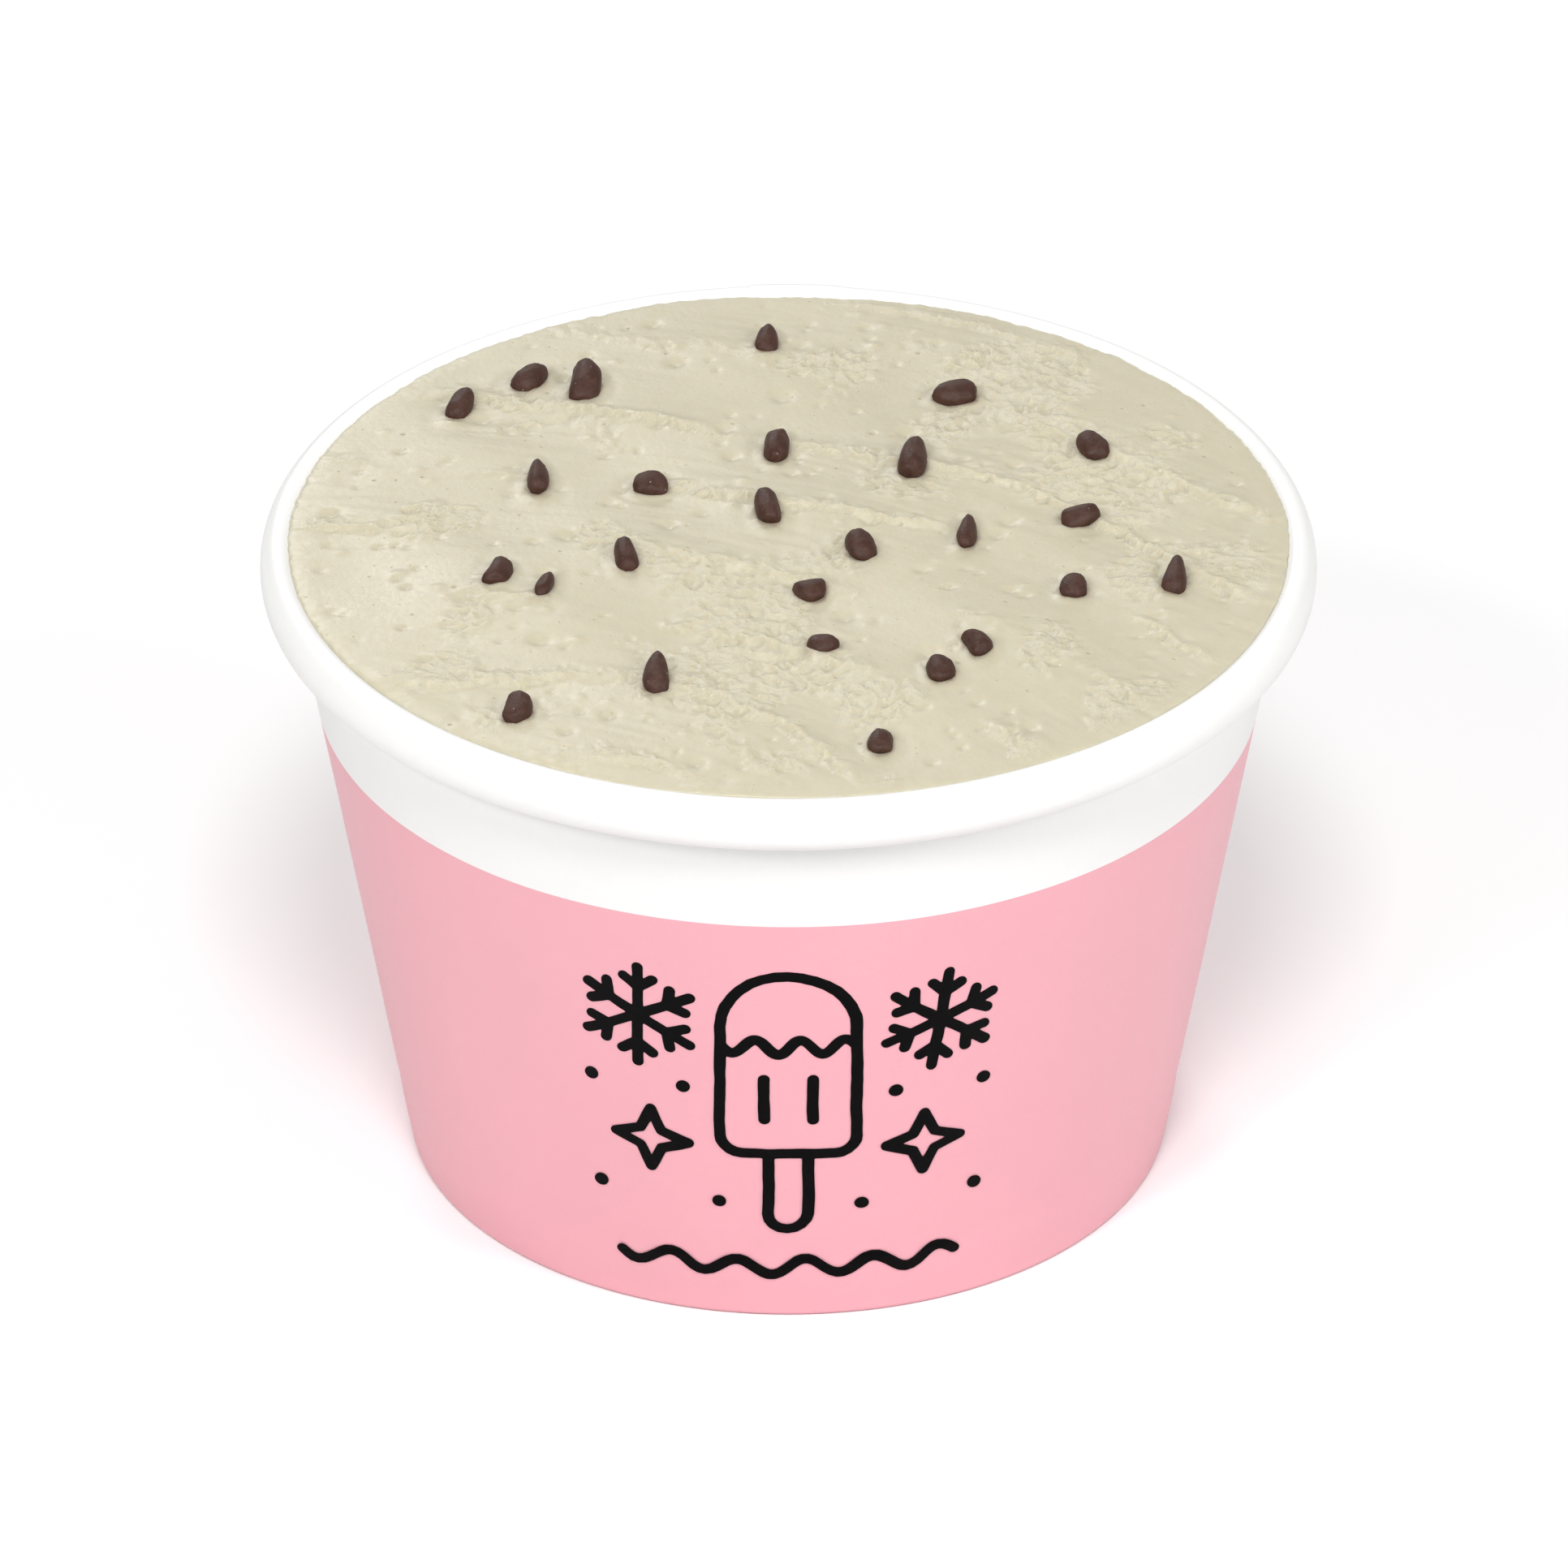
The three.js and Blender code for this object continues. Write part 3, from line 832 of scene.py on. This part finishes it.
def ice_cream_body():
    """The whole fill: its churned top, its rounded edge on the curl, and its sides and floor."""
    flat, faces, border = disc_grid(GRID)
    x, y = (flat * GRID_RADIUS).T
    calm = 1 - smoothstep(np.hypot(x, y), GRID_RADIUS - CALM_BAND, GRID_RADIUS)
    relief, torn = cream_relief(x, y)
    top = smooth_height(x, y) + relief * (CALM_SHARE + (1 - CALM_SHARE) * calm)
    places = np.stack([x, y, top], 1)

    turn = np.arctan2(y[border], x[border])
    around = np.stack([np.cos(turn), np.sin(turn), 0 * turn], 1)
    contact = CONTACT_RADIUS + CONTACT_WANDER * soft_noise(around * CONTACT_RADIUS, 7.0, 2)
    contact += CONTACT_WANDER * soft_noise(around * CONTACT_RADIUS, 1.2, 2)
    contact_z = curl_top(contact) - CONTACT_SINK
    rings = []
    for share in EDGE_QUARTERS:
        quarter = share * math.pi / 2
        radius = GRID_RADIUS + (contact - GRID_RADIUS) * math.sin(quarter)
        z = contact_z + (top[border] - contact_z) * math.cos(quarter) ** 0.5
        rings.append(around * radius[:, None] + np.outer(z, (0, 0, 1)))
    floor = DISC_HEIGHT + PAPER / 2 + GAP
    curl_inside = CURL_RADIUS - CURL_WIDTH / 2
    inside = [(curl_inside + 0.3, CURL_Z + 1.2), (curl_inside + 0.05, CURL_Z)]
    inside += [(wall_radius(z) - PAPER - GAP, z) for z in (*SIDE_RINGS, floor)]
    inside += [(radius, floor) for radius in FLOOR_RINGS]
    for radius, z in inside:
        rings.append(around * radius + (0, 0, z))

    count, start = len(border), len(places)
    loops = [border] + [start + count * k + np.arange(count) for k in range(len(rings))]
    for upper, lower in zip(loops, loops[1:]):
        band = np.stack([upper, lower, np.roll(lower, -1), np.roll(upper, -1)], 1)
        faces = np.concatenate([faces, band])
    places = np.concatenate([places, *rings])
    hub = len(places)
    places = np.concatenate([places, [(0, 0, floor)]])
    fan = [(hub, after, before) for before, after in zip(loops[-1], np.roll(loops[-1], -1))]
    piece = add_piece("ice_cream_body", places, [*faces.tolist(), *fan], [ICE_CREAM], sharp=70)

    away = nearest_chunk(places[:, 0], places[:, 1])
    patchy = 0.55 + 0.45 * soft_noise(places, 0.7, 2)
    on_top = places[:, 2] > LIP_Z - 1
    cocoa = np.clip(COCOA_TINT * np.exp(-np.maximum(away, 0) / COCOA_REACH) * patchy, 0, 1) * on_top
    torn = np.append(torn, np.zeros(len(places) - len(torn)))
    for name, values in {"cocoa": cocoa, "torn": torn}.items():
        attribute = piece.data.attributes.new(name, "FLOAT", "POINT")
        attribute.data.foreach_set("value", values.astype(np.float32))
    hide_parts("ice_cream")
    return piece


FACETS = 13  # of each chunk
FACET_EDGE = 10  # the higher, the sharper the edges between them
FACET_REACH = (0.84, 1.05)  # how far out the facets lie, on a ball of radius 1
CHUNK_LUMPS = (0.05, 0.45)  # height and size of its lumps, on that ball
CHUNK_GRAIN = (0.02, 0.16)
CHUNK_TIP = (-0.05, 0.2)  # the least and the most that it rises towards its far end
BLUNTNESS = 0.72  # the lower, the fuller a chunk is towards its two ends
BLUNT_FIT = 0.97  # a fuller chunk is scaled by this, so that it covers no more cream


def chunk_form(chunk, draw):
    """One chunk: a ball cut by soft facets, tapered, bowed and tipped, half sunk in the cream."""
    kind, x, y, length, width, turn = chunk
    form = CHUNK_KINDS[kind]
    mean = (length + width) / 2
    ball = bmesh.new()
    bmesh.ops.create_icosphere(ball, subdivisions=4, radius=1)
    rays = np.array([v.co for v in ball.verts])
    faces = np.array([[v.index for v in f.verts] for f in ball.faces])
    ball.free()

    planes = draw.normal(size=(FACETS, 3))
    planes /= np.linalg.norm(planes, axis=1)[:, None]
    reach = draw.uniform(*FACET_REACH, FACETS)
    facing = np.maximum(rays @ planes.T, 0) / reach
    size = ((facing**FACET_EDGE).sum(1) + 1) ** (-1 / FACET_EDGE)
    lumps = CHUNK_LUMPS[0] * soft_noise(rays + 7 * x, CHUNK_LUMPS[1], 2)
    size *= 1 + lumps + CHUNK_GRAIN[0] * soft_noise(rays + 3 * y, CHUNK_GRAIN[1], 2)
    points = rays * size[:, None]
    points[:, 0] = np.sign(points[:, 0]) * np.abs(points[:, 0]) ** BLUNTNESS
    along = points[:, 0]
    points[:, 1] *= 1 - form["taper"] * along
    points[:, 1] += form["bend"] * (along**2 - BOW_LEVEL)
    points *= BLUNT_FIT * np.array([length, width, 2 * CHUNK_DEPTH * mean]) / np.ptp(points, axis=0)
    points[:, 2] += draw.uniform(*CHUNK_TIP) * points[:, 0]
    cos, sin = math.cos(math.radians(turn)), math.sin(math.radians(turn))
    turned = points @ np.array([(cos, sin, 0), (-sin, cos, 0), (0, 0, 1)])
    return turned + (x, y, smooth_height(x, y) + CHUNK_RISE * mean), faces


def chocolate_chunks():
    """All chunks, as one piece."""
    draw = np.random.default_rng(RANDOM_SEED + 1)
    places, faces = [], []
    for chunk in CHUNKS:
        points, corners = chunk_form(chunk, draw)
        faces.append(corners + sum(map(len, places)))
        places.append(points)
    places, faces = np.concatenate(places), np.concatenate(faces)
    piece = add_piece("chocolate_chunks", places, faces, [CHOCOLATE_BROWN], sharp=60)
    return piece


# ---------------------------------------------------------------- the printed design

# It is drawn flat, in millimetres: across from the middle of the front, and up from the table.
STROKE = 1.08
INK_STEP = 0.15  # spacing of the grid that it is traced on
INK_RAISED = 0.03
PEN_DRIFT = (0.2, 7.0)  # how far the pen strays, and over what length
PEN_TREMBLE = (0.05, 1.5)
PEN_PRESSURE = (0.09, 4.0)  # the share that its width changes by, and over what length
DOT_SWELL = 1.25  # a dot is this much wider than a stroke
DESIGN_LOW = (-21.0, 3.0)
DESIGN_HIGH = (21.0, 43.5)


def curve(middle, size, start, end, steps=16):
    """Points on a round arc, for a pen stroke."""
    return arc(middle, (size, size), start, end, steps)


def toward(start, length, heading):
    """The place that lies a length away from another, in a direction in degrees."""
    angle = math.radians(heading)
    return np.array([start[0] + length * math.cos(angle), start[1] + length * math.sin(angle)])


def lolly_strokes():
    """An ice lolly: a round-topped body with two grooves and a dipped top, and its stick."""
    half, foot, shoulder, corner = 6.2, 19.6, 34.4, 1.9
    body = np.concatenate([
        curve((0, shoulder), half, 180, 0),
        curve((half - corner, foot + corner), corner, 0, -90, 5),
        curve((-half + corner, foot + corner), corner, -90, -180, 5),
        [(-half, shoulder)],
    ])
    stick = np.concatenate([[(-1.8, foot)], curve((0, 12.4), 1.8, 180, 360, 8), [(1.8, foot)]])
    grooves = [np.array([(side, 23.6), (side, 28.4)]) for side in (-2.2, 2.2)]
    return [body, stick, *grooves, wave_stroke(32.2, half, 0.85, 3)]


def snowflake_strokes(middle, size, turn):
    """Six arms, each with a small fork."""
    strokes = []
    for arm in range(6):
        heading = turn + 60 * arm
        fork = toward(middle, 0.58 * size, heading)
        one, other = [toward(fork, 0.32 * size, heading + side) for side in (52, -52)]
        strokes.append(np.array([middle, toward(middle, size, heading)]))
        strokes.append(np.array([one, fork, other]))
    return strokes


def star_strokes(middle, size):
    """A small four-pointed star, drawn as an outline."""
    reach = [size if corner % 2 == 0 else 0.42 * size for corner in range(9)]
    corners = [toward(middle, length, 90 + 45 * corner) for corner, length in enumerate(reach)]
    return [np.array(corners)]


def wave_stroke(z, half, height, waves):
    """A level wavy line, from -half to half across."""
    x = np.linspace(-half, half, 60)
    return np.stack([x, z + height * np.sin(x / half * waves * math.pi)], 1)


def design_strokes():
    strokes = lolly_strokes()
    strokes += snowflake_strokes((-13.8, 34.6), 5.6, 30)
    strokes += snowflake_strokes((13.9, 34.0), 5.4, 21)
    strokes += star_strokes((-12.6, 20.2), 3.5)
    strokes += star_strokes((12.4, 19.8), 3.5)
    strokes.append(wave_stroke(6.0, 15.5, 0.85, 5))
    return strokes


DESIGN_DOTS = [
    (-18.4, 26.4), (-9.6, 26.9), (9.7, 26.4), (18.2, 26.0),
    (-6.3, 13.6), (6.6, 13.4), (-17.6, 13.8), (17.3, 13.6),
]


def strayed(flat, amount_and_length):
    """A slow random change along the pen's way."""
    amount, length = amount_and_length
    return amount * soft_noise(flat, length)


def ink_depth(x, z):
    """How deep inside the nearest pen stroke a place lies; below 0 is bare paper."""
    flat = np.stack([x, z, 0 * x], 1)
    x = x + strayed(flat, PEN_DRIFT) + strayed(flat, PEN_TREMBLE)
    z = z + strayed(flat + 50, PEN_DRIFT) + strayed(flat + 50, PEN_TREMBLE)
    half = STROKE / 2 * (1 + strayed(flat + 90, PEN_PRESSURE))
    depth = np.full(len(x), -9.0)
    for stroke in design_strokes():
        for start, end in zip(stroke, stroke[1:]):
            span = end - start
            from_x, from_z = x - start[0], z - start[1]
            share = np.clip((from_x * span[0] + from_z * span[1]) / max(span @ span, 1e-9), 0, 1)
            away = np.hypot(from_x - share * span[0], from_z - share * span[1])
            depth = np.maximum(depth, half - away)
    for dot in DESIGN_DOTS:
        depth = np.maximum(depth, half * DOT_SWELL - np.hypot(x - dot[0], z - dot[1]))
    return depth


def traced(depth):
    """Polygons of the part of a grid where depth is above 0, as fractional grid places."""
    places, found, polygons = [], {}, []

    def place(key, where):
        if key not in found:
            found[key] = len(places)
            places.append(where)
        return found[key]

    inside = depth > 0
    touched = inside[:-1, :-1] | inside[1:, :-1] | inside[1:, 1:] | inside[:-1, 1:]
    for i, j in np.argwhere(touched):
        corners = [(i, j), (i + 1, j), (i + 1, j + 1), (i, j + 1)]
        polygon = []
        for one, other in zip(corners, corners[1:] + corners[:1]):
            if inside[one]:
                polygon.append(place(one, one))
            if inside[one] != inside[other]:
                share = depth[one] / (depth[one] - depth[other])
                where = tuple(a + (b - a) * share for a, b in zip(one, other))
                polygon.append(place((min(one, other), max(one, other)), where))
        polygons.append(polygon)
    return np.array(places, float), polygons


def printed_design():
    """The line design as a thin layer of ink that follows the wall."""
    spans = [np.arange(low, high, INK_STEP) for low, high in zip(DESIGN_LOW, DESIGN_HIGH)]
    x, z = np.meshgrid(*spans, indexing="ij")
    depth = ink_depth(x.ravel(), z.ravel()).reshape(x.shape)
    grid_places, polygons = traced(depth)
    across = DESIGN_LOW[0] + INK_STEP * grid_places[:, 0]
    up = DESIGN_LOW[1] + INK_STEP * grid_places[:, 1]
    angle = 180 - np.degrees(across / wall_radius(up))
    surface = wall_radius(up) + wall_shift(angle, up)

    def layer(lift):
        turn = np.radians(angle)
        return np.stack([(surface + lift) * np.sin(turn), (surface + lift) * np.cos(turn), up], 1)

    count = len(grid_places)
    faces = [*polygons, *[[v + count for v in reversed(polygon)] for polygon in polygons]]
    edges = {(a, b) for polygon in polygons for a, b in zip(polygon, polygon[1:] + polygon[:1])}
    faces += [(b, a, a + count, b + count) for a, b in sorted(edges) if (b, a) not in edges]
    places = np.concatenate([layer(INK_RAISED), layer(-INK_RAISED)])
    piece = add_piece("printed_design", places, faces, [PRINT_INK], sharp=50)
    return piece


# ---------------------------------------------------------------- floor, lights and camera

TARGET = Vector((0, 0, 31)) * MM
CAMERA_DISTANCE = 1500 * MM
CAMERA_ELEVATION = math.radians(30.9)
CAMERA_LENS = 375.4
CAMERA_LIFT = 3.82 * MM  # the photo's frame sits a little above and left of the target
CAMERA_SIDE = -0.41 * MM
AIR_STRENGTH = 0.45
FLOOR_HALF = 2.0  # in metres, as are the places and widths of the lights
# Each soft light: its place, its width and its power in watts.
LIGHTS = {
    "front_key": ((-0.6, -0.92, 0.92), 0.3, 6.3),
    "front_top": ((0, -0.7, 1.05), 0.25, 5.6),
    "right_fill": ((0.95, -0.65, 0.8), 0.4, 5.8),
    "back_sheen": ((-0.3, 1.1, 0.72), 0.4, 3.0),
}


def studio_floor():
    """A white floor that throws a little less light back up than the camera sees on it."""
    mesh = bpy.data.meshes.new("studio_floor")
    corners = [(FLOOR_HALF * x, FLOOR_HALF * y, 0) for x, y in ((-1, -1), (1, -1), (1, 1), (-1, 1))]
    mesh.from_pydata(corners, [], [(0, 1, 2, 3)])
    material, tree, shader = new_material("studio_floor")
    seen = put(tree, "ShaderNodeLightPath").outputs["Is Camera Ray"]
    tree.links.new(mixed(tree, seen, FLOOR_BOUNCE, FLOOR), shader.inputs["Base Color"])
    shader.inputs["Roughness"].default_value = 0.9
    mesh.materials.append(material)
    floor = bpy.data.objects.new("studio_floor", mesh)
    bpy.context.scene.collection.objects.link(floor)


def soft_light(name, place, size, watts):
    data = bpy.data.lights.new(name, "AREA")
    data.size = size
    data.energy = watts
    light = bpy.data.objects.new(name, data)
    light.location = place
    light.rotation_euler = (TARGET - Vector(place)).to_track_quat("-Z", "Y").to_euler()
    bpy.context.scene.collection.objects.link(light)


def camera():
    up = Vector((0, math.sin(CAMERA_ELEVATION), math.cos(CAMERA_ELEVATION)))
    back = Vector((0, -math.cos(CAMERA_ELEVATION), math.sin(CAMERA_ELEVATION)))
    data = bpy.data.cameras.new("camera")
    data.lens = CAMERA_LENS
    data.sensor_width = 36
    data.clip_start = 0.01
    made = bpy.data.objects.new("camera", data)
    made.location = TARGET + back * CAMERA_DISTANCE + up * CAMERA_LIFT + Vector((CAMERA_SIDE, 0, 0))
    made.rotation_euler = (math.pi / 2 - CAMERA_ELEVATION, 0, 0)
    bpy.context.scene.collection.objects.link(made)
    bpy.context.scene.camera = made


def studio():
    world = bpy.data.worlds.new("studio_air")
    world.use_nodes = True
    background = world.node_tree.nodes["Background"]
    background.inputs["Color"].default_value = (1, 1, 1, 1)
    background.inputs["Strength"].default_value = AIR_STRENGTH
    bpy.context.scene.world = world
    bpy.context.scene.view_settings.view_transform = "Standard"
    for name, (place, size, watts) in LIGHTS.items():
        soft_light(name, place, size, watts)
    studio_floor()
    camera()


# ---------------------------------------------------------------- the whole

sidewall_paper()
base_disc_paper()
ice_cream_body()
chocolate_chunks()
printed_design()
studio()
